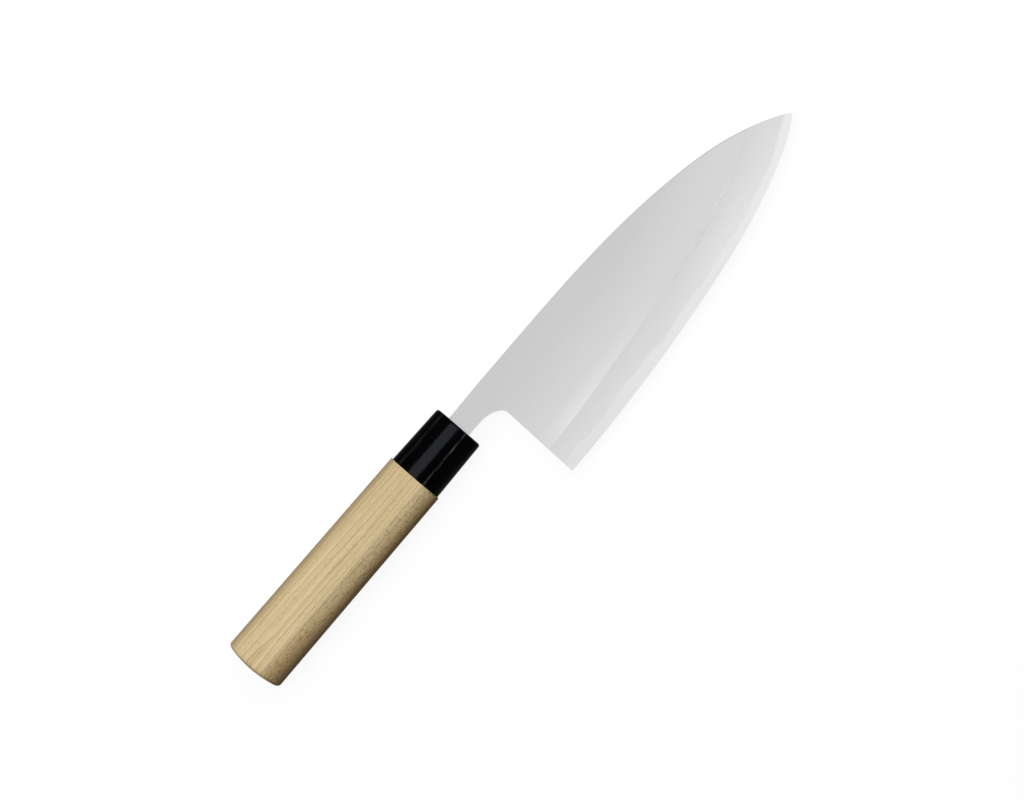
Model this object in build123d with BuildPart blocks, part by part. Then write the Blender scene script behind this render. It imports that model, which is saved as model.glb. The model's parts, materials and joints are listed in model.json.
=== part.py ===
"""Right-handed deba knife: a single-bevel laminated blade in a D-section wooden handle.

The knife lies level on its back face: +X runs to the tip, +Y to the spine, +Z out of the bevelled face.
It is drawn about the handle's axis, with x = 0 at the front face of the ferrule, and is laid down
last, so that the origin ends at the bottom centre of its bounding box. Lengths are in millimetres.
"""
from build123d import *
from math import atan, atan2, degrees
import os

# Blade: outline, seen on the bevelled face
blade_length = 165.0            # heel corner to tip
blade_height = 51.1             # spine to heel corner
neck_length = 16.0              # ferrule to heel corner
neck_height = 10.4
spine_rise = 5.6                # spine above the handle's axis at the heel
heel_lean = 1.0                 # the heel's corner lies this much nearer the handle than its top
notch_length = 11.0             # the rounded corner between neck and heel
notch_drop = 6.0
tip_spine_angle = 40.0          # slope of the spine and of the edge where they meet
tip_edge_angle = 36.0

# The outline's shape: distance from the heel as a share of the length, then how far below the
# spine the spine, the bevel line and the edge lie there, as shares of the height
station_shares = (0.0, 0.28, 0.50, 0.70, 0.86, 1.0)
spine_shares = (0.0, 0.002, 0.030, 0.111, 0.244, 0.483)
bevel_line_shares = (0.749, 0.692, 0.625, 0.520, 0.345, 0.060)
edge_shares = (1.0, 0.970, 0.907, 0.814, 0.685, 0.483)

# Blade: thickness
spine_thickness = 5.0           # at the heel
tip_thickness = 2.0             # where the taper of the spine ends
flat_fall = 0.3                 # the flat face is this much thinner at the bevel line than at the spine
edge_land = 0.15                # blunt width of the cutting edge
blade_round = 0.5               # rounding of the long edges of spine and neck
core_share = 0.24               # hard steel's part of the thickness
core_setback = 6.0              # the hard steel starts this far from the ferrule
hollow_depth = 0.4              # hollow grind of the back
hollow_length_share = 0.94      # of the blade's length
hollow_height_share = 0.88      # of the blade's height, between the flat rims
hollow_runout = 14.0            # the hollow fades out over this length towards the neck
hollow_start_angle = 60.0       # slant of the line where it starts

# Tang
tang_length = 92.0              # behind the ferrule's front face
tang_shoulder = 0.15            # step from the neck down to the tang, all round
tang_end_height = 6.0
tang_end_thickness = 3.0

# Handle
handle_length = 126.7
grip_height = 26.0              # at the butt
grip_thickness = 20.8
grip_narrowing = 1.2            # height and thickness lost from the butt to the ferrule
end_radius = 8.1                # of the D's two rounded ends
ridge_drop = 4.0                # the ridge of the D lies this far below the axis
ridge_slope = 18.0              # angle at which the lower side falls away from the ridge
grip_ridge_radius = 2.2
butt_dome = 1.8                 # the butt bulges this much over half its height
butt_round = 1.5
shoulder_chamfer = 0.3          # where the wood meets the ferrule

# Ferrule
ferrule_length = 26.8
ferrule_inset = 0.7             # the wood stands this much proud of the ferrule
ferrule_narrowing = 1.2         # height and thickness lost from its back to its front
ferrule_wall = 2.6
ferrule_ridge_radius = 1.8
ferrule_chamfer = 0.4           # of its front rim
glue_gap = 0.1                  # between the tenon and the ferrule

# Adhesive round the tang
socket_gap = 0.5
seal_recess = 0.25              # the adhesive stays this far behind the ferrule's face

overrun = 2.0                   # how far every cut passes what it cuts

# Derived places
taper = (spine_thickness - tip_thickness) / blade_length
neck_thickness = spine_thickness + taper * neck_length
back_z = -neck_thickness / 2
heel_top_x = neck_length + heel_lean
notch_end_y = -neck_height / 2 - notch_drop
tip_x = neck_length + blade_length
hollow_y = spine_rise - blade_height * spine_shares[-1]
grip_front_x = -ferrule_length
grip_butt_x = -handle_length


def station_x(share):
    """Distance along the blade from the heel corner."""
    return neck_length + share * blade_length


def below_spine(share):
    """Height of a point a share of the blade's height below the spine's level at the heel."""
    return spine_rise - share * blade_height


def thickness_at(x):
    """Blade thickness at the spine, on its straight taper from heel to tip."""
    return spine_thickness - taper * (x - neck_length)


def flat_z(x, y):
    """Height of the flat bevelled-side face, which also falls a little from the spine to the bevel line."""
    fall = flat_fall * (spine_rise - y) / (blade_height * bevel_line_shares[0])
    return back_z + thickness_at(x) - fall


def outline_points(shares):
    """Points of an outline curve at the blade's stations."""
    return [(station_x(s), below_spine(d)) for s, d in zip(station_shares, shares)]


def slope(angle):
    """Unit direction at an angle in degrees from +X."""
    return Vector(1, 0, 0).rotate(Axis.Z, angle)


def draft(narrowing, length):
    """Angle of the sides of a piece that gets this much narrower over its length."""
    return degrees(atan(narrowing / 2 / length))


def arc_into_end(start, inward, end_centre, radius):
    """Arc that leaves a point square to a direction and runs smoothly into a round end.

    Returns its centre, its radius and the angle, seen from both centres, at which the two meet.
    """
    across = end_centre - start
    arc_radius = (across.dot(across) - radius**2) / (2 * (inward.dot(across) - radius))
    arc_centre = start + inward * arc_radius
    meeting = end_centre - arc_centre
    return arc_centre, arc_radius, degrees(atan2(meeting.Y, meeting.X))


def d_section(x, inset, ridge_radius):
    """D-section of the handle across its axis, this far inside the grip's section at the butt.

    It is an oval of tangent arcs with one ridge, low on the bevelled side.
    """
    half_thickness = grip_thickness / 2 - inset
    radius = end_radius - inset
    upper_end = Vector(grip_height / 2 - end_radius, 0)
    lower_end = -upper_end
    ridge = Vector(-ridge_drop, half_thickness)
    upper, upper_radius, upper_angle = arc_into_end(ridge, slope(-90), upper_end, radius)
    lower, lower_radius, lower_angle = arc_into_end(ridge, slope(ridge_slope - 90), lower_end, radius)
    back, back_radius, back_angle = arc_into_end(Vector(0, -half_thickness), slope(90), upper_end, radius)
    with BuildSketch(Plane.YZ.offset(x)) as section:
        with BuildLine():
            CenterArc(upper, upper_radius, 90, upper_angle - 90)
            CenterArc(upper_end, radius, upper_angle, back_angle - upper_angle)
            CenterArc(back, back_radius, back_angle, -180 - 2 * back_angle)
            CenterArc(lower_end, radius, 180 - back_angle, lower_angle + back_angle - 180)
            CenterArc(lower, lower_radius, lower_angle, 90 + ridge_slope - lower_angle)
        make_face()
        fillet(section.vertices().sort_by(Axis.Y)[-1], ridge_radius)
    return section.sketch


def block_section(x, height, thickness):
    """Rectangle across the handle's axis."""
    with BuildSketch(Plane.YZ.offset(x)) as section:
        Rectangle(height, thickness)
    return section.sketch


def oval_section(x, height, thickness):
    """Ellipse across the handle's axis."""
    with BuildSketch(Plane.YZ.offset(x)) as section:
        Ellipse(height / 2, thickness / 2)
    return section.sketch


def bevel_section(share, line_share, edge_share):
    """Triangle above the bevel, whose long side runs through the edge and the bevel line."""
    x = station_x(share)
    edge_y = below_spine(edge_share)
    edge_z = back_z + edge_land
    line_y = below_spine(line_share)
    rise = (flat_z(x, line_y) - edge_z) / (line_y - edge_y)
    top_z = back_z + thickness_at(x) + overrun
    with BuildSketch(Plane.YZ.offset(x)) as section:
        with BuildLine():
            Polyline(
                (edge_y - overrun, edge_z - rise * overrun),
                (edge_y + (top_z - edge_z) / rise, top_z),
                (edge_y - overrun, top_z),
                close=True,
            )
        make_face()
    return section.sketch


# Outline of blade and neck, as thick as the spine
with BuildPart() as blade:
    with BuildSketch(Plane.XY.offset(back_z)):
        with BuildLine():
            Line((0, -neck_height / 2), (heel_top_x - notch_length, -neck_height / 2))
            EllipticalCenterArc((heel_top_x - notch_length, notch_end_y), notch_length, notch_drop, arc_size=90)
            Line((heel_top_x, notch_end_y), outline_points(edge_shares)[0])
            Spline(outline_points(edge_shares), tangents=[slope(0), slope(tip_edge_angle)])
            Spline(outline_points(spine_shares), tangents=[slope(0), slope(-tip_spine_angle)])
            Polyline(
                outline_points(spine_shares)[0],
                (0, neck_height / 2),
                (0, -neck_height / 2),
            )
        make_face()
    extrude(amount=neck_thickness + overrun)

    # The flat face tapers to the tip and falls a little from spine to bevel line
    along = Vector(blade_length, 0, flat_z(tip_x, spine_rise) - flat_z(neck_length, spine_rise))
    across = Vector(0, -blade_height, flat_z(tip_x, spine_rise - blade_height) - flat_z(tip_x, spine_rise))
    split(
        bisect_by=Plane((neck_length, spine_rise, flat_z(neck_length, spine_rise)), along, across.cross(along)),
        keep=Keep.BOTTOM,
    )

    # Single bevel, from the bevel line down to the edge
    stations = zip(station_shares, bevel_line_shares, edge_shares)
    loft([bevel_section(*station) for station in stations], mode=Mode.SUBTRACT)

    # Rounded long edges: all round the flat face, and along the spine at the back
    flat_edges = blade.faces().sort_by(Axis.Z)[-1].edges().sort_by(Axis.Y)[1:].sort_by(Axis.X)[1:]
    back_edges = blade.faces().sort_by(Axis.Z)[0].edges().sort_by(Axis.Y)[-2:]
    fillet(flat_edges + back_edges, blade_round)

# The back is hollow-ground as by a large barrel-shaped stone, which runs out before the neck
hollow_half_height = hollow_height_share * blade_height / 2
hollow_half_length = hollow_length_share * blade_length
stone_radius = (hollow_half_height**2 + hollow_depth**2) / (2 * hollow_depth)
stone_top = back_z + hollow_depth
stone_axis = Axis((neck_length, hollow_y, stone_top - stone_radius), (1, 0, 0))
with BuildPart() as hollow:
    with BuildSketch(Plane.XZ.offset(-hollow_y)):
        with BuildLine():
            ThreePointArc(
                (neck_length - hollow_half_length, back_z),
                (neck_length, stone_top),
                (neck_length + hollow_half_length, back_z),
            )
            Polyline(
                (neck_length + hollow_half_length, back_z),
                (neck_length + hollow_half_length, stone_top - stone_radius),
                (neck_length - hollow_half_length, stone_top - stone_radius),
                (neck_length - hollow_half_length, back_z),
            )
        make_face()
    revolve(axis=stone_axis)
    start_line = slope(hollow_start_angle)
    into_blade = start_line.rotate(Axis.Z, -90) * hollow_runout + Vector(0, 0, hollow_depth)
    split(
        bisect_by=Plane((heel_top_x, notch_end_y, back_z), start_line, into_blade.cross(start_line)),
        keep=Keep.BOTTOM,
    )

# Tang, a little smaller than the neck, inside the handle
with BuildPart() as tang:
    loft([
        block_section(0, neck_height - 2 * tang_shoulder, neck_thickness - 2 * tang_shoulder),
        block_section(-tang_length, tang_end_height, tang_end_thickness),
    ])

# The hard steel is one layer at the back of the blade, so that it forms the edge
with BuildPart() as core_zone:
    with BuildSketch(Plane.XZ):
        with BuildLine():
            Polyline(
                (core_setback, back_z - overrun),
                (tip_x + overrun, back_z - overrun),
                (tip_x + overrun, back_z + core_share * thickness_at(tip_x + overrun)),
                (core_setback, back_z + core_share * thickness_at(core_setback)),
                close=True,
            )
        make_face()
    extrude(amount=blade_height, both=True)

with BuildPart() as edge_steel:
    add(blade.part)
    add(hollow.part, mode=Mode.SUBTRACT)
    add(core_zone.part, mode=Mode.INTERSECT)

with BuildPart() as blade_cladding:
    add(blade.part)
    add(hollow.part, mode=Mode.SUBTRACT)
    add(core_zone.part, mode=Mode.SUBTRACT)
    add(tang.part)

# Ferrule: a D-section ring
ferrule_back_inset = grip_narrowing / 2 + ferrule_inset
ring_inset = ferrule_back_inset + ferrule_narrowing / 2 + ferrule_wall
bore_height = grip_height - 2 * ring_inset
bore_thickness = grip_thickness - 2 * ring_inset
with BuildPart() as ferrule:
    extrude(
        d_section(grip_front_x, ferrule_back_inset, ferrule_ridge_radius),
        amount=ferrule_length,
        taper=draft(ferrule_narrowing, ferrule_length),
    )
    chamfer(ferrule.faces().sort_by(Axis.X)[-1].edges(), ferrule_chamfer)
    extrude(
        oval_section(overrun, bore_height, bore_thickness),
        amount=-ferrule_length - 2 * overrun,
        mode=Mode.SUBTRACT,
    )

# Socket for the tang, a little larger than neck and tang all round
with BuildPart() as socket:
    loft([
        block_section(0, neck_height + 2 * socket_gap, neck_thickness + 2 * socket_gap),
        block_section(
            -tang_length - socket_gap, tang_end_height + 2 * socket_gap, tang_end_thickness + 2 * socket_gap
        ),
    ])

# Wooden grip with its domed butt, and the tenon that fills the ferrule
grip_reach = grip_front_x - grip_butt_x + overrun
dome_radius = (grip_height**2 / 4 + butt_dome**2) / (2 * butt_dome)
dome_centre_x = grip_butt_x + dome_radius
with BuildPart() as grip:
    extrude(
        d_section(grip_butt_x - overrun, 0, grip_ridge_radius),
        amount=grip_reach,
        taper=draft(grip_narrowing, grip_reach),
    )
    with BuildSketch(Plane.YZ.offset(dome_centre_x)):
        with BuildLine():
            CenterArc((0, 0), dome_radius, -90, 180)
            Polyline(
                (0, dome_radius),
                (2 * dome_radius, dome_radius),
                (2 * dome_radius, -dome_radius),
                (0, -dome_radius),
            )
        make_face()
    revolve(axis=Axis((dome_centre_x, 0, 0), (0, 0, 1)), revolution_arc=180, mode=Mode.SUBTRACT)
    fillet(grip.faces().sort_by(Axis.X)[0].edges(), butt_round)
    chamfer(grip.faces().sort_by(Axis.X)[-1].edges(), shoulder_chamfer)
    extrude(
        oval_section(grip_front_x, bore_height - 2 * glue_gap, bore_thickness - 2 * glue_gap),
        amount=ferrule_length,
    )
    add(socket.part, mode=Mode.SUBTRACT)

# Adhesive that fills the rest of the socket
with BuildPart() as tang_resin:
    add(socket.part)
    split(bisect_by=Plane.YZ.offset(-seal_recess), keep=Keep.BOTTOM)
    add(blade_cladding.part, mode=Mode.SUBTRACT)

# Laid down, with the origin at the bottom centre of the bounding box
pieces = {
    "blade_cladding": blade_cladding,
    "edge_steel": edge_steel,
    "ferrule": ferrule,
    "grip": grip,
    "tang_resin": tang_resin,
}
knife_box = Compound([piece.part for piece in pieces.values()]).bounding_box()
knife_centre = knife_box.center()
lay_down = Location((-knife_centre.X, -knife_centre.Y, -knife_box.min.Z))

os.makedirs("parts", exist_ok=True)
for name, piece in pieces.items():
    piece.part = piece.part.moved(lay_down)
    piece.part.label = name
    export_step(piece.part, f"parts/{name}.step")
    print(name, round(piece.part.volume, 1), piece.part.is_valid, len(piece.solids()))
print("ferrule front at", lay_down.position)
print("size", knife_box.size)
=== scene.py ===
"""Deba knife: the looks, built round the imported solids.

Shapes are worked out in millimetres about the handle's axis, with x = 0 at the front face of the ferrule,
+X to the tip, +Y to the spine and +Z out of the bevelled face, and are put into the shared frame last.
Angles are in degrees, and the floor and the lamps are in metres.
"""
import json
import math

import bmesh
import bpy
import numpy as np
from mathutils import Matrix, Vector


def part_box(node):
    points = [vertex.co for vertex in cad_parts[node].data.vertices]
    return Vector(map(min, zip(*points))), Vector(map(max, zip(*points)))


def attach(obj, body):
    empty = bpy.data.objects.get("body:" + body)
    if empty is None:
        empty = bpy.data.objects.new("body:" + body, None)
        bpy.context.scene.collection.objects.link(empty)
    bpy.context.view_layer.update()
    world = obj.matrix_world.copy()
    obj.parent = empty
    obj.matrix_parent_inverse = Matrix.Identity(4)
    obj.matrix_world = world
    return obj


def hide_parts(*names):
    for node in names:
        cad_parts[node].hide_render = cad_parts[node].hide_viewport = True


mm = 0.001

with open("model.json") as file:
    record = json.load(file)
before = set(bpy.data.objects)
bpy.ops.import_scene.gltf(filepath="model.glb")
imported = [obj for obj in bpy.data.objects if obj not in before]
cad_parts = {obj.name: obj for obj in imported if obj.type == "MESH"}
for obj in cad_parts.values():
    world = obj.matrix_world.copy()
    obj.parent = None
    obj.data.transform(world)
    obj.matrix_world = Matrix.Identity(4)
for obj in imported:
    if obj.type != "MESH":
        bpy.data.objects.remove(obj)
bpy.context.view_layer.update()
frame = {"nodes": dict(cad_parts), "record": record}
nodes = frame["nodes"]
mounts = {mount["name"]: mount["pos_m"] for mount in frame["record"]["mounts"]}

# The handle's axis at the ferrule's front face
datum = np.array([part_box("ferrule")[1][0], *mounts["hand_grip"][1:]])

# Blade: shares of its length, and the bevel line's drop below the spine as shares of its height
blade_length = 165.0
blade_height = 51.1
neck_length = 16.0
spine_rise = 5.6
station_shares = (0.0, 0.28, 0.50, 0.70, 0.86, 1.0)
bevel_line_shares = (0.749, 0.692, 0.625, 0.520, 0.345, 0.060)
spine_thickness = 5.0
tip_thickness = 2.0
tip_x = neck_length + blade_length
neck_thickness = spine_thickness + (spine_thickness - tip_thickness) / blade_length * neck_length
back_z = -neck_thickness / 2

# Handle, with the D-section's sizes at the butt
butt_x = (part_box("grip")[0][0] - datum[0]) / mm
grip_height = 26.0
grip_thickness = 20.8
grip_narrowing = 1.2
end_radius = 8.1
ridge_drop = 4.0
ridge_slope = 18.0
grip_ridge_radius = 2.2
butt_dome = 1.8
butt_round = 1.5
draft_overrun = 2.0
sanded_off = 0.02
shoulder_round = 0.3
tenon_set_back = 0.2

# Ferrule
ferrule_length = 26.8
ferrule_inset = 0.7
ferrule_narrowing = 1.2
ferrule_wall = 2.6
ferrule_ridge_radius = 1.8
ferrule_round = 1.1
glue_gap = 0.1

# Socket for the tang
neck_height = 10.4
socket_gap = 0.5
tang_length = 92.0
tang_end_height = 6.0
tang_end_thickness = 3.0

# Meshes: points that merge, the angle past which an edge stays sharp, and the least points of an arc, which
# otherwise has one to a degree
merge_gap = 0.002
sharp_angle = 40.0
least_points = 6

# Rings of points along the two walls, over the dome of the butt, where they crowd towards the rim, and round
# the quarter rounds
ferrule_rings = 24
grip_rings = 60
dome_rings = 26
dome_crowding = 0.7
rim_rings = 9
shoulder_rings = 6


def into_end(start, inward, end_centre, radius):
    """Arc that leaves start square to inward and is tangent to a round end inside it.

    Its radius is (d.d - r.r) / 2 (n.d - r), where d runs from start to the end's centre, n is inward
    and r is the end's radius. Returns its centre, its radius and the angle where the two meet.
    """
    across = end_centre - start
    arc_radius = (across @ across - radius**2) / (2 * (inward @ across - radius))
    centre = start + inward * arc_radius
    meeting = end_centre - centre
    return centre, arc_radius, math.degrees(math.atan2(meeting[1], meeting[0]))


def direction(angle):
    """Unit vector (y, z) at this angle from the spine's side."""
    return np.array([math.cos(math.radians(angle)), math.sin(math.radians(angle))])


def d_section(inset, ridge_radius):
    """D-section across the handle as points (y, z) with outward normals, anticlockwise.

    Each arc is centre + radius (cos a, sin a) over its own range of angles, so the normal there is
    (cos a, sin a), and the ridge is one more arc, tangent inside the two that it joins.
    """
    half_thickness = grip_thickness / 2 - inset
    radius = end_radius - inset
    upper_end = np.array([grip_height / 2 - end_radius, 0.0])
    lower_end = -upper_end
    ridge = np.array([-ridge_drop, half_thickness])
    upper, upper_radius, upper_angle = into_end(ridge, direction(-90), upper_end, radius)
    lower, lower_radius, lower_angle = into_end(ridge, direction(ridge_slope - 90), lower_end, radius)
    middle = np.array([0.0, -half_thickness])
    back, back_radius, back_angle = into_end(middle, direction(90), upper_end, radius)

    # The ridge's arc is centred where circles about both centres, smaller by its radius, cross
    gap = lower - upper
    span = math.hypot(*gap)
    to_upper, to_lower = upper_radius - ridge_radius, lower_radius - ridge_radius
    along = (span**2 + to_upper**2 - to_lower**2) / (2 * span)
    unit = gap / span
    normal = np.array([-unit[1], unit[0]])
    top = upper + unit * along + normal * math.sqrt(to_upper**2 - along**2)
    from_upper = math.degrees(math.atan2(*(top - upper)[::-1]))
    from_lower = math.degrees(math.atan2(*(top - lower)[::-1]))

    arcs = [
        (upper_end, radius, back_angle, upper_angle),
        (upper, upper_radius, upper_angle, from_upper),
        (top, ridge_radius, from_upper, from_lower),
        (lower, lower_radius, from_lower, lower_angle),
        (lower_end, radius, lower_angle, 180 - back_angle),
        (back, back_radius, 180 - back_angle, 360 + back_angle),
    ]
    points, normals = [], []
    for centre, arc_radius, start, end in arcs:
        count = max(least_points, round(end - start))
        angles = np.radians(np.linspace(start, end, count, endpoint=False))
        normals.append(np.column_stack([np.cos(angles), np.sin(angles)]))
        points.append(centre + arc_radius * normals[-1])
    return np.concatenate(points), np.concatenate(normals)


def round_about(loop):
    """Angle of each point of a loop about the axis."""
    return np.arctan2(loop[:, 1], loop[:, 0])


def oval(angles, height, thickness):
    """Ellipse: half the height times the cosine, half the thickness times the sine."""
    return np.column_stack([height / 2 * np.cos(angles), thickness / 2 * np.sin(angles)])


def block(angles, height, thickness):
    """Rectangle: two triangle waves of the angle, each cut off at the sides."""
    wave_y = np.clip(np.arcsin(np.cos(angles)) * 4 / math.pi, -1, 1)
    wave_z = np.clip(np.arcsin(np.sin(angles)) * 4 / math.pi, -1, 1)
    return np.column_stack([height / 2 * wave_y, thickness / 2 * wave_z])


def ring(x, loop):
    """A loop (y, z) at a place along the axis, which may differ from point to point."""
    return np.column_stack([np.broadcast_to(x, len(loop)), loop])


def finish_piece(name, rings, node):
    """Makes a mesh of a stack of rings (rings, points, xyz), closed round each ring.

    Row i, column j goes to (rings[i, j] mm + datum). Equal neighbours, such as a pole, are merged.
    """
    grid = np.asarray(rings)
    rows, columns = grid.shape[:2]
    corner = np.arange(rows * columns).reshape(rows, columns)
    ahead = np.roll(corner, -1, axis=1)
    faces = np.stack([corner[:-1], corner[1:], ahead[1:], ahead[:-1]], axis=-1).reshape(-1, 4)
    mesh = bpy.data.meshes.new(name)
    mesh.from_pydata((grid.reshape(-1, 3) * mm + datum).tolist(), [], faces.tolist())
    work = bmesh.new()
    work.from_mesh(mesh)
    bmesh.ops.remove_doubles(work, verts=work.verts, dist=merge_gap * mm)
    bmesh.ops.recalc_face_normals(work, faces=work.faces)
    work.to_mesh(mesh)
    work.free()
    mesh.shade_smooth()
    mesh.set_sharp_from_angle(angle=math.radians(sharp_angle))
    piece = bpy.data.objects.new(name, mesh)
    bpy.context.scene.collection.objects.link(piece)
    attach(piece, "root")
    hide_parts(node)
    return piece


def make_ferrule():
    """Ferrule: the D-section carried forward while it shrinks evenly, with a quarter round front rim and an
    oval bore."""
    back_inset = grip_narrowing / 2 + ferrule_inset
    ring_inset = back_inset + ferrule_narrowing / 2 + ferrule_wall
    base, normals = d_section(back_inset, ferrule_ridge_radius)
    bore = oval(round_about(base), grip_height - 2 * ring_inset, grip_thickness - 2 * ring_inset)

    def outside(x, extra=0.0):
        inset = ferrule_narrowing / 2 * (x + ferrule_length) / ferrule_length + extra
        return ring(x, base - normals * inset)

    walls = [outside(x) for x in np.linspace(-ferrule_length, -ferrule_round, ferrule_rings)]
    rim = [
        outside(ferrule_round * (math.sin(turn) - 1), ferrule_round * (1 - math.cos(turn)))
        for turn in np.radians(np.linspace(0, 90, rim_rings))[1:]
    ]
    inside = [ring(x, bore) for x in (0.0, -ferrule_length)]
    return finish_piece("ferrule_ring", walls + rim + inside + walls[:1], "ferrule")


def make_grip():
    """Wooden grip, in rings from the middle of the butt out over the rim, along to the shoulder, and down
    the tenon into the socket.

    The butt is part of a sphere, x = centre - sqrt(R.R - y.y - z.z), met by a quarter round rim. The wall
    is the D-section less an even draft and what sanding takes off, and the tenon is an oval.
    """
    base, normals = d_section(0.0, grip_ridge_radius)
    angles = round_about(base)
    front_x = -ferrule_length
    draft_x = butt_x - draft_overrun
    dome_radius = (grip_height**2 / 4 + butt_dome**2) / (2 * butt_dome)
    dome_centre = butt_x + dome_radius

    def inside(x, extra=0.0):
        inset = sanded_off + grip_narrowing / 2 * (x - draft_x) / (front_x - draft_x) + extra
        return base - normals * np.broadcast_to(inset, len(base))[:, None]

    def dome(loop):
        return dome_centre - np.sqrt(dome_radius**2 - (loop**2).sum(axis=1))

    end = inside(dome(base), butt_round)
    rings = [ring(dome(end * s), end * s) for s in np.linspace(0, 1, dome_rings) ** dome_crowding]
    for turn in np.radians(np.linspace(90, 0, rim_rings))[1:]:
        loop = inside(dome(base), butt_round * (1 - math.cos(turn)))
        rings.append(ring(dome(loop) + butt_round * (1 - math.sin(turn)), loop))
    rim_x = rings[-1][:, 0]
    for s in np.linspace(0, 1, grip_rings)[1:]:
        x = rim_x + (front_x - shoulder_round - rim_x) * s
        rings.append(ring(x, inside(x)))
    for turn in np.radians(np.linspace(0, 90, shoulder_rings))[1:]:
        x = front_x + shoulder_round * (math.sin(turn) - 1)
        rings.append(ring(x, inside(x, shoulder_round * (1 - math.cos(turn)))))

    tenon_inset = grip_narrowing / 2 + ferrule_inset + ferrule_narrowing / 2 + ferrule_wall + glue_gap
    tenon = oval(angles, grip_height - 2 * tenon_inset, grip_thickness - 2 * tenon_inset)
    mouth = block(angles, neck_height + 2 * socket_gap, neck_thickness + 2 * socket_gap)
    foot = block(angles, tang_end_height + 2 * socket_gap, tang_end_thickness + 2 * socket_gap)
    socket_end = -tang_length - socket_gap
    rings += [ring(front_x, tenon), ring(-tenon_set_back, tenon), ring(-tenon_set_back, mouth)]
    rings += [ring(socket_end, foot), ring(socket_end, foot * 0)]
    return finish_piece("wooden_grip", rings, "grip")


def add(tree, kind, sockets=None, **settings):
    """Adds a shader node with its settings. A socket's value is a constant or another node's output.

    A socket goes by its name or its number. A Map Range's are the value, from low and high, to low and high,
    and a mix's are the share, the first and the second.
    """
    made = tree.nodes.new("ShaderNode" + kind)
    for name, value in settings.items():
        setattr(made, name, value)
    for name, value in (sockets or {}).items():
        if isinstance(value, bpy.types.NodeSocket):
            tree.links.new(value, made.inputs[name])
        else:
            made.inputs[name].default_value = value
    return made


def linear(hex_colour):
    """sRGB hex colour as linear red, green, blue and alpha."""
    parts = np.array([int(hex_colour[i : i + 2], 16) for i in (1, 3, 5)]) / 255
    curved = ((parts + 0.055) / 1.055) ** 2.4
    return (*np.where(parts <= 0.04045, parts / 12.92, curved), 1.0)


def material(name):
    """An empty material and its node tree."""
    made = bpy.data.materials.new(name)
    made.use_nodes = True
    made.node_tree.nodes.clear()
    return made, made.node_tree


def finish(tree, sockets, detail, depth):
    """Gives the material its surface, with a bump of this depth in millimetres from a height pattern."""
    bump = {"Height": detail, "Distance": depth * mm, "Strength": 1.0}
    sockets["Normal"] = add(tree, "Bump", bump).outputs[0]
    shader = add(tree, "BsdfPrincipled", sockets)
    output = add(tree, "OutputMaterial")
    tree.links.new(shader.outputs[0], output.inputs["Surface"])


def laid_along(tree, scale=(1, 1, 1), turn=0):
    """Object coordinates in millimetres from the datum, turned about the knife's length and scaled. A pattern
    runs long where its scale is small."""
    place = add(tree, "TexCoord").outputs["Object"]
    centred = add(tree, "VectorMath", {0: place, 1: tuple(datum)}, operation="SUBTRACT").outputs[0]
    centred = add(tree, "VectorMath", {0: centred, "Scale": 1 / mm}, operation="SCALE").outputs[0]
    laid = {"Vector": centred, "Scale": scale, "Rotation": (math.radians(turn), 0, 0)}
    return add(tree, "Mapping", laid).outputs[0]


def away_from(tree, value, middle):
    """How far a value is from this one."""
    away = add(tree, "Math", {0: value, 1: middle}, operation="SUBTRACT").outputs[0]
    return add(tree, "Math", {0: away}, operation="ABSOLUTE").outputs[0]


def mixed_in(tree, tone, colour, pattern, low, high, most):
    """The tone with a colour mixed in: none where a pattern is at low, and this share where it is at high.
    The low level may be the larger number, and the share may be a pattern too."""
    share = add(tree, "MapRange", {0: pattern, 1: low, 2: high, 3: 0.0, 4: most}).outputs[0]
    return add(tree, "MixRGB", {0: share, 1: tone, 2: linear(colour)}).outputs[0]


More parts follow.
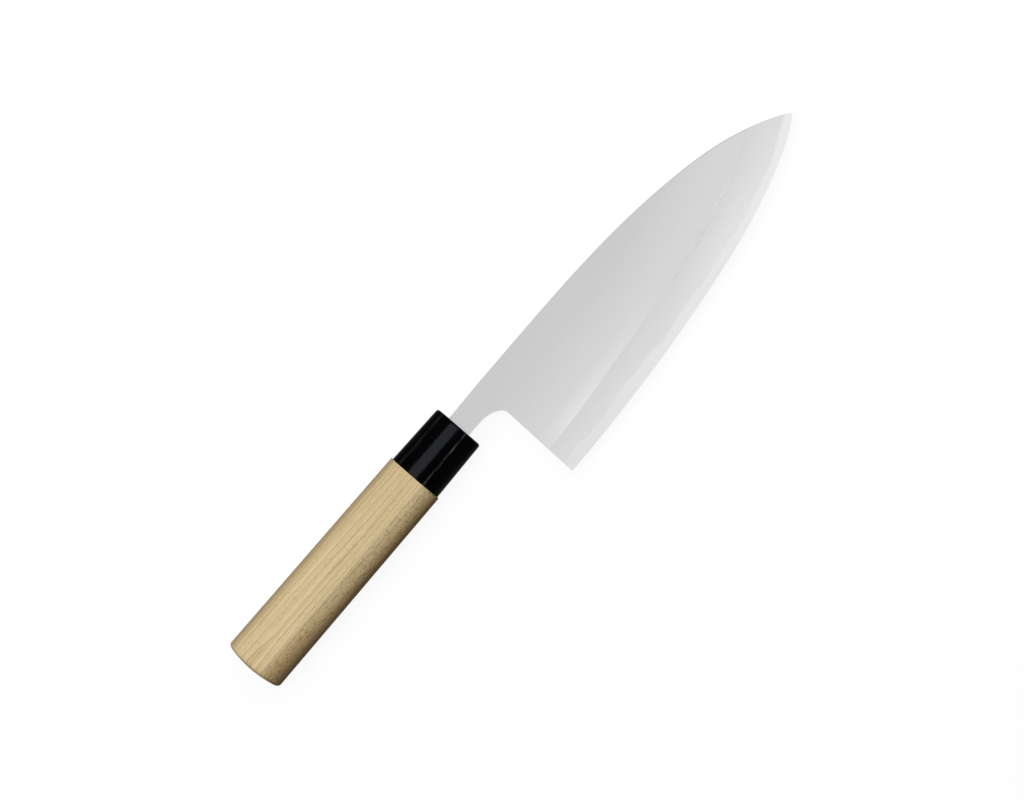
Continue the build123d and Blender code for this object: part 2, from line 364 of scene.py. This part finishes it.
def magnolia_wood():
    """Magnolia, sanded and left bare: pale straw and dull, with straight thin growth lines, finer fibres
    between them and short dark pores. It has painted shade: warmer on the flank below the ridge, browner
    there towards the butt, and darker round its lower edge and along its upper side. It is darker where the
    end grain shows."""
    made, tree = material("magnolia_wood_sanded")

    # Sizes in millimetres: the growth layers, how far they bend and how often, the breaks in their lines, the
    # fibres and streaks, the marks in the surface, its relief, and how far the painted shade reaches from the
    # butt
    layer, bend, bend_size, break_size = 2.5, 3.0, 9.0, 2.6
    fibre, streak, pale_streak = 0.45, 2.2, 1.4
    fleck, pore, dot, relief = 0.9, 0.34, 0.7, 0.06
    butt_shade_reach = 34.0
    layers_lean = 24.0
    grain = laid_along(tree, (0.010, 1, 1), layers_lean)
    broad = laid_along(tree, (0.05, 1, 1))
    short = laid_along(tree, (0.10, 1, 1))
    speck = laid_along(tree, (0.55, 1, 1))
    facing = add(tree, "SeparateXYZ", {0: add(tree, "NewGeometry").outputs["Normal"]}).outputs

    # Growth lines: layers bent a little from flat, each ending in a thin dark line with one crisp side
    drift = add(tree, "TexNoise", {"Vector": broad, "Scale": 1 / bend_size}).outputs["Fac"]
    bent = add(tree, "MapRange", {0: drift, 1: 0.2, 2: 0.8, 3: -bend, 4: bend}).outputs[0]
    depth = add(tree, "SeparateXYZ", {0: grain}).outputs["Y"]
    depth = add(tree, "Math", {0: depth, 1: bent}, operation="ADD").outputs[0]
    step = add(tree, "Math", {0: depth, 1: 1 / layer}, operation="MULTIPLY").outputs[0]
    step = add(tree, "Math", {0: step}, operation="FRACT").outputs[0]
    breaks = add(tree, "TexNoise", {"Vector": broad, "Scale": 1 / break_size}).outputs["Fac"]
    strength = add(tree, "MapRange", {0: breaks, 1: 0.35, 2: 0.65, 3: 0.08, 4: 0.52}).outputs[0]
    line = {0: step, 1: 0.78, 2: 0.92, 3: 0.0, 4: strength}
    line = add(tree, "MapRange", line, interpolation_type="SMOOTHSTEP").outputs[0]

    # Fibres and streaks, drawn coarser than the real ones, which are too fine to show
    fine = {"Vector": grain, "Scale": 1 / fibre, "Detail": 5.0, "Roughness": 0.7}
    fibres = add(tree, "TexNoise", fine).outputs["Fac"]
    wide = add(tree, "TexNoise", {"Vector": grain, "Scale": 1 / streak, "Detail": 3.0}).outputs["Fac"]
    pale = {"Vector": grain, "Scale": 1 / pale_streak, "Detail": 3.0}
    pale = add(tree, "TexNoise", pale).outputs["Fac"]
    tone = add(tree, "MixRGB", {0: wide, 1: linear("#dcc597"), 2: linear("#eedbb0")}).outputs[0]
    tone = mixed_in(tree, tone, "#f6e5be", pale, 0.48, 0.64, 0.50)
    tone = mixed_in(tree, tone, "#d2b785", drift, 0.42, 0.70, 0.40)
    tone = mixed_in(tree, tone, "#cfb27c", step, 0.0, 0.8, 0.30)
    tone = mixed_in(tree, tone, "#bf9f6a", fibres, 0.52, 0.28, 0.38)
    tone = add(tree, "MixRGB", {0: line, 1: tone, 2: linear("#a5834b")}).outputs[0]

    # Painted shade: warmer on the flank, which faces away from the light, and browner there towards the butt
    tone = mixed_in(tree, tone, "#b98a3c", facing["Y"], -0.30, -0.85, 0.40)
    along = add(tree, "SeparateXYZ", {0: laid_along(tree)}).outputs["X"]
    painted_light_share = {0: along, 1: butt_x + butt_shade_reach, 2: butt_x, 3: 0.0, 4: 0.40}
    painted_light_share = add(tree, "MapRange", painted_light_share).outputs[0]
    tone = mixed_in(tree, tone, "#8f6626", facing["Y"], -0.05, -0.65, painted_light_share)

    # Flecks and pores show more on the flank, where the surface cuts the layers square. Dark pores lie over
    # the painted shade of the edges, and pale flecks under it
    pored = add(tree, "MapRange", {0: facing["Y"], 1: -0.18, 2: -0.60, 3: 0.16, 4: 0.56}).outputs[0]
    flecked = add(tree, "MapRange", {0: facing["Y"], 1: -0.18, 2: -0.60, 3: 0.136, 4: 0.476}).outputs[0]
    flecks = add(tree, "TexNoise", {"Vector": speck, "Scale": 1 / fleck}).outputs["Fac"]
    tone = mixed_in(tree, tone, "#ecd6a8", flecks, 0.56, 0.66, flecked)
    # Painted shade round the lower edge and a little along the upper edge, then the darker end grain
    lower = add(tree, "MapRange", {0: facing["Y"], 1: -0.20, 2: -0.60, 3: 0.0, 4: 0.86}).outputs[0]
    tone = mixed_in(tree, tone, "#533714", facing["Z"], 0.78, 0.39, lower)
    tone = mixed_in(tree, tone, "#8a6d3e", facing["Y"], 0.62, 0.98, 0.45)
    tone = mixed_in(tree, tone, "#a5854f", facing["X"], -0.75, -0.92, 0.38)
    pores = add(tree, "TexNoise", {"Vector": short, "Scale": 1 / pore}).outputs["Fac"]
    tone = mixed_in(tree, tone, "#8d6a3c", pores, 0.58, 0.68, pored)
    dots = add(tree, "TexNoise", {"Vector": speck, "Scale": 1 / dot}).outputs["Fac"]
    tone = mixed_in(tree, tone, "#6a4a20", dots, 0.54, 0.66, flecked)

    rough = add(tree, "MapRange", {0: fibres, 1: 0.3, 2: 0.7, 3: 0.72, 4: 0.58}).outputs[0]
    surface = {"Base Color": tone, "Roughness": rough, "IOR": 1.5, "Specular IOR Level": 0.2}
    finish(tree, surface, fibres, relief)
    return made


def black_resin():
    """Black resin, moulded and buffed: nearly black and glossy, with the slight waviness of buffing by hand,
    and with painted highlights: grey lines on the ridge and along the shoulder on the spine side. Its index
    of refraction is below a resin's usual 1.5, because the room that it mirrors here is white."""
    made, tree = material("black_resin_buffed")

    # Sizes in millimetres: the waves of buffing and how deep they are, and the haze on them. Then the patches
    # of the painted highlight lines, how far those wander and how often, and where the shoulder is
    wave_size, wave_depth, haze_size = 2.6, 0.012, 0.9
    patch_size, wander, wander_size, shoulder_y = 3.0, 0.3, 11.0, 8.4
    soft = laid_along(tree, (0.25, 1, 1))
    waves = add(tree, "TexNoise", {"Vector": soft, "Scale": 1 / wave_size}).outputs["Fac"]
    haze = {"Vector": soft, "Scale": 1 / haze_size, "Detail": 3.0}
    haze = add(tree, "TexNoise", haze).outputs["Fac"]
    rough = add(tree, "MapRange", {0: haze, 1: 0.3, 2: 0.7, 3: 0.07, 4: 0.13}).outputs[0]
    tone = add(tree, "MixRGB", {0: haze, 1: linear("#010102"), 2: linear("#030304")}).outputs[0]

    # Painted highlights: grey lines on the upper side, along the ridge and the shoulder, wandering and
    # patchy. Rubbed lines on the upper side, wandering and patchy, and drawn wider than the real ones, which
    # are too fine to show
    even = laid_along(tree)
    place = add(tree, "SeparateXYZ", {0: even}).outputs
    shift = {"Vector": even, "Scale": 1 / wander_size, "Detail": 1.0}
    shift = add(tree, "TexNoise", shift).outputs["Fac"]
    shift = add(tree, "MapRange", {0: shift, 1: 0.3, 2: 0.7, 3: -wander, 4: wander}).outputs[0]
    across = add(tree, "Math", {0: place["Y"], 1: shift}, operation="ADD").outputs[0]
    patches = laid_along(tree, (0.5, 1, 1))
    patches = add(tree, "TexNoise", {"Vector": patches, "Scale": 1 / patch_size}).outputs["Fac"]
    for line_y, reach, most, colour in (
        (-ridge_drop, 0.55, 0.7, "#606066"),
        (shoulder_y, 0.9, 0.4, "#3c3c41"),
    ):
        painted_light_share = {0: patches, 1: 0.35, 2: 0.60, 3: 0.15 * most, 4: most}
        painted_light_share = add(tree, "MapRange", painted_light_share).outputs[0]
        painted_light_share = add(tree, "MapRange", {0: place["Z"], 1: 0.0, 2: 1.0, 3: 0.0, 4: painted_light_share}).outputs[0]
        tone = mixed_in(tree, tone, colour, away_from(tree, across, line_y), reach, 0.0, painted_light_share)
    finish(tree, {"Base Color": tone, "Roughness": rough, "IOR": 1.06}, waves, wave_depth)
    return made


def cured_adhesive():
    """Amber adhesive, cured where it was squeezed out: a little glossy and uneven."""
    made, tree = material("adhesive_cured")
    lump, lump_depth = 1.5, 0.08
    lumps = add(tree, "TexNoise", {"Vector": laid_along(tree), "Scale": 1 / lump}).outputs["Fac"]
    tone = add(tree, "MixRGB", {0: lumps, 1: linear("#5d4930"), 2: linear("#7a6442")}).outputs[0]
    finish(tree, {"Base Color": tone, "Roughness": 0.42, "IOR": 1.5}, lumps, lump_depth)
    return made


def drawn_line(tree, x, shares):
    """Height of one of the blade's drawn lines, as a smooth curve through its shares of the height."""
    along = add(tree, "MapRange", {0: x, 1: neck_length, 2: tip_x, 3: 0.0, 4: 1.0}).outputs[0]
    curve = add(tree, "FloatCurve", {"Value": along})
    points = curve.mapping.curves[0].points
    middle = 0.5
    while len(points) < len(shares):
        points.new(middle, middle)
    for point, place in zip(points, zip(station_shares, shares)):
        point.location = place
    curve.mapping.update()
    drop = {0: curve.outputs[0], 1: -blade_height, 2: spine_rise}
    return add(tree, "Math", drop, operation="MULTIPLY_ADD").outputs[0]


def laminated_steel():
    """Two layers of blade steel, forge-welded, ground along the knife and rubbed with a stone: a pale satin
    that spreads light across its fine lengthwise lines. The soft steel on the bevel is hazy, and the hard
    steel along the edge is brighter, up to a wavy line at a third of the thickness by the heel and a fifth
    at the tip."""
    made, tree = material("laminated_steel_stone_rubbed")

    # Sizes in millimetres: the clouds, the waves of the meeting line, the marks and painted highlight on the
    # bevel line, and the grinding lines with their depth
    cloud_size, wave_length, marks_and_glint_size, line_width, line_depth = 16.0, 17.0, 3.0, 0.35, 0.0015

    # Roughness of the ground faces, how far their lines vary it, and that of the eased edge. Then how far up
    # the normal points on a level face, and on one that leans by nearly 5 degrees
    satin, satin_spread, eased_satin = 0.22, 0.03, 0.5
    level, leaning = 0.9990, 0.9965
    place = add(tree, "SeparateXYZ", {0: laid_along(tree)}).outputs
    x = place["X"]
    geometry = add(tree, "NewGeometry").outputs
    facing_up = add(tree, "SeparateXYZ", {0: geometry["True Normal"]}).outputs["Z"]
    facing_spine = add(tree, "SeparateXYZ", {0: geometry["Normal"]}).outputs["Y"]

    # Share of the thickness here: 0 on the back, 1 on the flat face
    above_back = add(tree, "Math", {0: place["Z"], 1: back_z}, operation="SUBTRACT").outputs[0]
    thick = {0: x, 1: neck_length, 2: tip_x, 3: spine_thickness, 4: tip_thickness}
    thick = add(tree, "MapRange", thick).outputs[0]
    share = add(tree, "Math", {0: above_back, 1: thick}, operation="DIVIDE").outputs[0]

    # Flat face: cloudy, with painted light: paler towards the tip and the bevel line, and a painted highlight
    # on that line towards the heel
    cloud = {"Vector": laid_along(tree, (0.4, 1, 1)), "Scale": 1 / cloud_size}
    cloud = add(tree, "TexNoise", cloud).outputs["Fac"]
    bevel_line = drawn_line(tree, x, bevel_line_shares)
    from_line = add(tree, "Math", {0: place["Y"], 1: bevel_line}, operation="SUBTRACT").outputs[0]
    far = add(tree, "MapRange", {0: x, 1: 105.0, 2: 175.0, 3: 0.0, 4: 0.55}).outputs[0]
    low = {0: from_line, 1: 30.0, 2: 2.0, 3: 0.0, 4: 0.75}
    low = add(tree, "MapRange", low, interpolation_type="SMOOTHSTEP").outputs[0]
    glint = add(tree, "MapRange", {0: x, 1: neck_length, 2: 30.0, 3: 0.27, 4: 0.9}).outputs[0]
    glint = add(tree, "MapRange", {0: x, 1: 95.0, 2: 40.0, 3: 0.0, 4: glint}).outputs[0]
    glint = {0: from_line, 1: 7.5, 2: 0.0, 3: 0.0, 4: glint}
    glint = add(tree, "MapRange", glint, interpolation_type="SMOOTHSTEP").outputs[0]
    tone = add(tree, "MixRGB", {0: cloud, 1: linear("#cacacb"), 2: linear("#cfcfd0")}).outputs[0]
    for part, colour in ((far, "#d7d7d8"), (low, "#dbdbdc"), (glint, "#e5e5e6")):
        tone = add(tree, "MixRGB", {0: part, 1: tone, 2: linear(colour)}).outputs[0]

    # Bevel: faces that lean by more than about 3 degrees and look up. Its haze is paler towards the edge, and
    # a painted highlight makes it palest about 50 mm before the tip
    bevel = add(tree, "MapRange", {0: facing_up, 1: level, 2: leaning, 3: 0.0, 4: 1.0}).outputs[0]
    haze = add(tree, "MapRange", {0: share, 1: 1.0, 2: 0.3, 3: 0.0, 4: 1.0}).outputs[0]
    haze = add(tree, "MixRGB", {0: haze, 1: linear("#d5d5d6"), 2: linear("#dededf")}).outputs[0]
    tone = add(tree, "MixRGB", {0: bevel, 1: tone, 2: haze}).outputs[0]
    painted_bevel_highlight = {0: away_from(tree, x, 132.0), 1: 46.0, 2: 10.0, 3: 0.0, 4: 0.42}
    painted_bevel_highlight = add(tree, "MapRange", painted_bevel_highlight).outputs[0]
    painted_bevel_highlight = add(tree, "Math", {0: painted_bevel_highlight, 1: bevel}, operation="MULTIPLY").outputs[0]
    tone = mixed_in(tree, tone, "#ececed", share, 1.0, 0.3, painted_bevel_highlight)

    # Hard steel below the wavy line where the layers meet, clearer away from the heel and, as painted light,
    # paler towards the tip
    wave = laid_along(tree, (1, 0.15, 0.15))
    wave = {"Vector": wave, "Scale": 1 / wave_length, "Detail": 3.0, "Roughness": 0.6}
    wave = add(tree, "TexNoise", wave).outputs["Fac"]
    wave = add(tree, "MapRange", {0: wave, 1: 0.0, 2: 1.0, 3: -0.15, 4: 0.15}).outputs[0]
    meeting = add(tree, "MapRange", {0: x, 1: 44.0, 2: tip_x, 3: 0.345, 4: 0.215}).outputs[0]
    meeting = add(tree, "Math", {0: meeting, 1: wave}, operation="ADD").outputs[0]
    below = add(tree, "Math", {0: meeting, 1: share}, operation="SUBTRACT").outputs[0]
    clear = add(tree, "MapRange", {0: x, 1: 20.0, 2: 75.0, 3: 0.35, 4: 0.9}).outputs[0]
    clear = add(tree, "Math", {0: clear, 1: bevel}, operation="MULTIPLY").outputs[0]
    hard = {0: below, 1: -0.045, 2: 0.045, 3: 0.0, 4: clear}
    hard = add(tree, "MapRange", hard, interpolation_type="SMOOTHSTEP").outputs[0]
    bright = add(tree, "MixRGB", {0: far, 1: linear("#e8e8e9"), 2: linear("#f3f3f4")}).outputs[0]
    tone = add(tree, "MixRGB", {0: hard, 1: tone, 2: bright}).outputs[0]

    # Faint dark marks on the bevel line, and a thin painted highlight on it nearer the tip
    marks_and_glint_noise = laid_along(tree, (1, 1.8, 1))
    marks_and_glint_noise = {"Vector": marks_and_glint_noise, "Scale": 1 / marks_and_glint_size, "Detail": 3.0, "Roughness": 0.6}
    marks_and_glint_noise = add(tree, "TexNoise", marks_and_glint_noise).outputs["Fac"]
    for marks_and_glint_x, end, full, marks_and_glint_y, side, middle, most, colour in (
        (111.0, 19.0, 9.0, -0.4, 1.5, 0.1, 0.22, "#9a9a9c"),
        (139.0, 10.0, 3.0, 0.2, 0.7, 0.1, 0.75, "#f0f0f1"),
    ):
        marks_and_glint = {0: away_from(tree, from_line, marks_and_glint_y), 1: side, 2: middle, 3: 0.0, 4: most}
        marks_and_glint = add(tree, "MapRange", marks_and_glint).outputs[0]
        marks_and_glint = {0: away_from(tree, x, marks_and_glint_x), 1: end, 2: full, 3: 0.0, 4: marks_and_glint}
        marks_and_glint = add(tree, "MapRange", marks_and_glint).outputs[0]
        tone = mixed_in(tree, tone, colour, marks_and_glint_noise, 0.46, 0.66, marks_and_glint)

    # Eased edge of the spine, duller. Back: its flat rim is bright, and its hollow keeps the duller grinding
    eased = add(tree, "MapRange", {0: facing_spine, 1: 0.03, 2: 0.12, 3: 0.0, 4: 1.0}).outputs[0]
    tone = add(tree, "MixRGB", {0: eased, 1: tone, 2: linear("#d0d0d2")}).outputs[0]
    down = add(tree, "MapRange", {0: facing_up, 1: -0.3, 2: -0.6, 3: 0.0, 4: 1.0}).outputs[0]
    hollow = add(tree, "MapRange", {0: above_back, 1: 0.01, 2: 0.06, 3: 0.0, 4: 1.0}).outputs[0]
    back = add(tree, "MixRGB", {0: hollow, 1: linear("#dedee0"), 2: linear("#b4b4b6")}).outputs[0]
    tone = add(tree, "MixRGB", {0: down, 1: tone, 2: back}).outputs[0]

    # Lengthwise grinding lines, drawn 0.35 mm wide because the real ones are too fine to show
    lines = laid_along(tree, (0.012, 1, 0.35))
    lines = {"Vector": lines, "Scale": 1 / line_width, "Detail": 4.0, "Roughness": 0.7}
    lines = add(tree, "TexNoise", lines).outputs["Fac"]
    tone = mixed_in(tree, tone, "#a9a9ab", lines, 0.65, 0.35, 0.08)
    rough = {0: lines, 1: 0.3, 2: 0.7, 3: satin - satin_spread, 4: satin + satin_spread}
    rough = add(tree, "MapRange", rough).outputs[0]
    rough = add(tree, "MapRange", {0: eased, 1: 0.0, 2: 1.0, 3: rough, 4: eased_satin}).outputs[0]
    across = add(tree, "CombineXYZ", {"X": 0.0, "Y": 1.0, "Z": 0.0}).outputs[0]
    surface = {"Base Color": tone, "Metallic": 1.0, "Roughness": rough, "Anisotropic": 0.5, "Tangent": across}
    finish(tree, surface, lines, line_depth)
    return made


def seen_directly(tree):
    """1 for what the camera sees, itself or in a polished or clear surface, and 0 for light that is only
    scattered."""
    path = add(tree, "LightPath").outputs
    seen = {0: path["Is Camera Ray"], 1: path["Is Glossy Ray"]}
    seen = add(tree, "Math", seen, operation="MAXIMUM").outputs[0]
    return add(tree, "Math", {0: seen, 1: path["Is Transmission Ray"]}, operation="MAXIMUM").outputs[0]


def softbox(name, lean, distance, size_x, size_y, radiance):
    """Rectangular lamp over the knife, leaned towards the spine by this many degrees from the vertical."""
    lamp = bpy.data.lights.new(name, "AREA")
    lamp.shape = "RECTANGLE"
    lamp.size, lamp.size_y = size_x, size_y
    lamp.energy = radiance * math.pi * size_x * size_y
    made = bpy.data.objects.new(name, lamp)
    turn = math.radians(lean)
    made.location = (0, math.sin(turn) * distance, math.cos(turn) * distance)
    made.rotation_euler = (-turn, 0, 0)
    bpy.context.scene.collection.objects.link(made)
    return made


ferrule = make_ferrule()
ferrule.data.materials.append(black_resin())
make_grip().data.materials.append(magnolia_wood())
steel = laminated_steel()
for name, coat in {"blade_cladding": steel, "edge_steel": steel, "tang_resin": cured_adhesive()}.items():
    nodes[name].data.materials.clear()
    nodes[name].data.materials.append(coat)

# Floor: a sheet of paper that glows nearly as white as the room, and still takes the knife's shadow
half = 3.0
paper_grey, paper_glow = 0.1, 0.92
corners = [(-half, -half, 0), (half, -half, 0), (half, half, 0), (-half, half, 0)]
floor_mesh = bpy.data.meshes.new("floor")
floor_mesh.from_pydata(corners, [], [(0, 1, 2, 3)])
floor = bpy.data.objects.new("floor", floor_mesh)
bpy.context.scene.collection.objects.link(floor)
paper, tree = material("white_paper_sweep")
diffuse = add(tree, "BsdfDiffuse", {"Color": (paper_grey, paper_grey, paper_grey, 1)})
glow = add(tree, "Emission", {"Color": (1, 1, 1, 1), "Strength": paper_glow})
none = add(tree, "Emission", {"Strength": 0.0})
seen = add(tree, "MixShader", {0: seen_directly(tree), 1: none.outputs[0], 2: glow.outputs[0]})
both = add(tree, "AddShader", {0: diffuse.outputs[0], 1: seen.outputs[0]})
output = add(tree, "OutputMaterial")
tree.links.new(both.outputs[0], output.inputs["Surface"])
floor_mesh.materials.append(paper)

# World: white to look at, and dim as a light
room_white, room_light = 1.0, 0.08
world = bpy.data.worlds.new("studio")
bpy.context.scene.world = world
world.use_nodes = True
tree = world.node_tree
tree.nodes.clear()
dim = add(tree, "Background", {"Color": (1, 1, 1, 1), "Strength": room_light})
white = add(tree, "Background", {"Color": (1, 1, 1, 1), "Strength": room_white})
mix = add(tree, "MixShader", {0: seen_directly(tree), 1: dim.outputs[0], 2: white.outputs[0]})
output = add(tree, "OutputWorld")
tree.links.new(mix.outputs[0], output.inputs["Surface"])

# Lamps: a wide one shades everything, and a narrower, slightly blue one puts the band of gloss on the resin
# alone. Mirrored in the steel, either would be far whiter than the paper round it
shading = softbox("shading", lean=20, distance=1.5, size_x=3.0, size_y=1.1, radiance=2.75)
shading.visible_glossy = False
band = softbox("band", lean=27, distance=1.5, size_x=3.0, size_y=0.48, radiance=28.0)
band.data.color = (0.82, 0.86, 1.0)
band.visible_diffuse = False
glossy = bpy.data.collections.new("resin_with_a_band")
glossy.objects.link(ferrule)
band.light_linking.receiver_collection = glossy

# Camera: straight above, turned as the knife lies in the photograph. It looks at a place at about the height
# of the handle's axis, and its view is this wide there, in millimetres
knife_turn = 49.35
looked_at = (-5.3, 7.3, 10.0)
distance = 2000.0
view_width = 406.4
film_width = 36
camera_data = bpy.data.cameras.new("camera")
camera_data.sensor_width = film_width
camera_data.lens = film_width * distance / view_width
camera = bpy.data.objects.new("camera", camera_data)
camera.location = np.add(looked_at, (0, 0, distance)) * mm
camera.rotation_euler = (0, 0, -math.radians(knife_turn))
bpy.context.scene.collection.objects.link(camera)
bpy.context.scene.camera = camera

bpy.context.scene.view_settings.view_transform = "Standard"
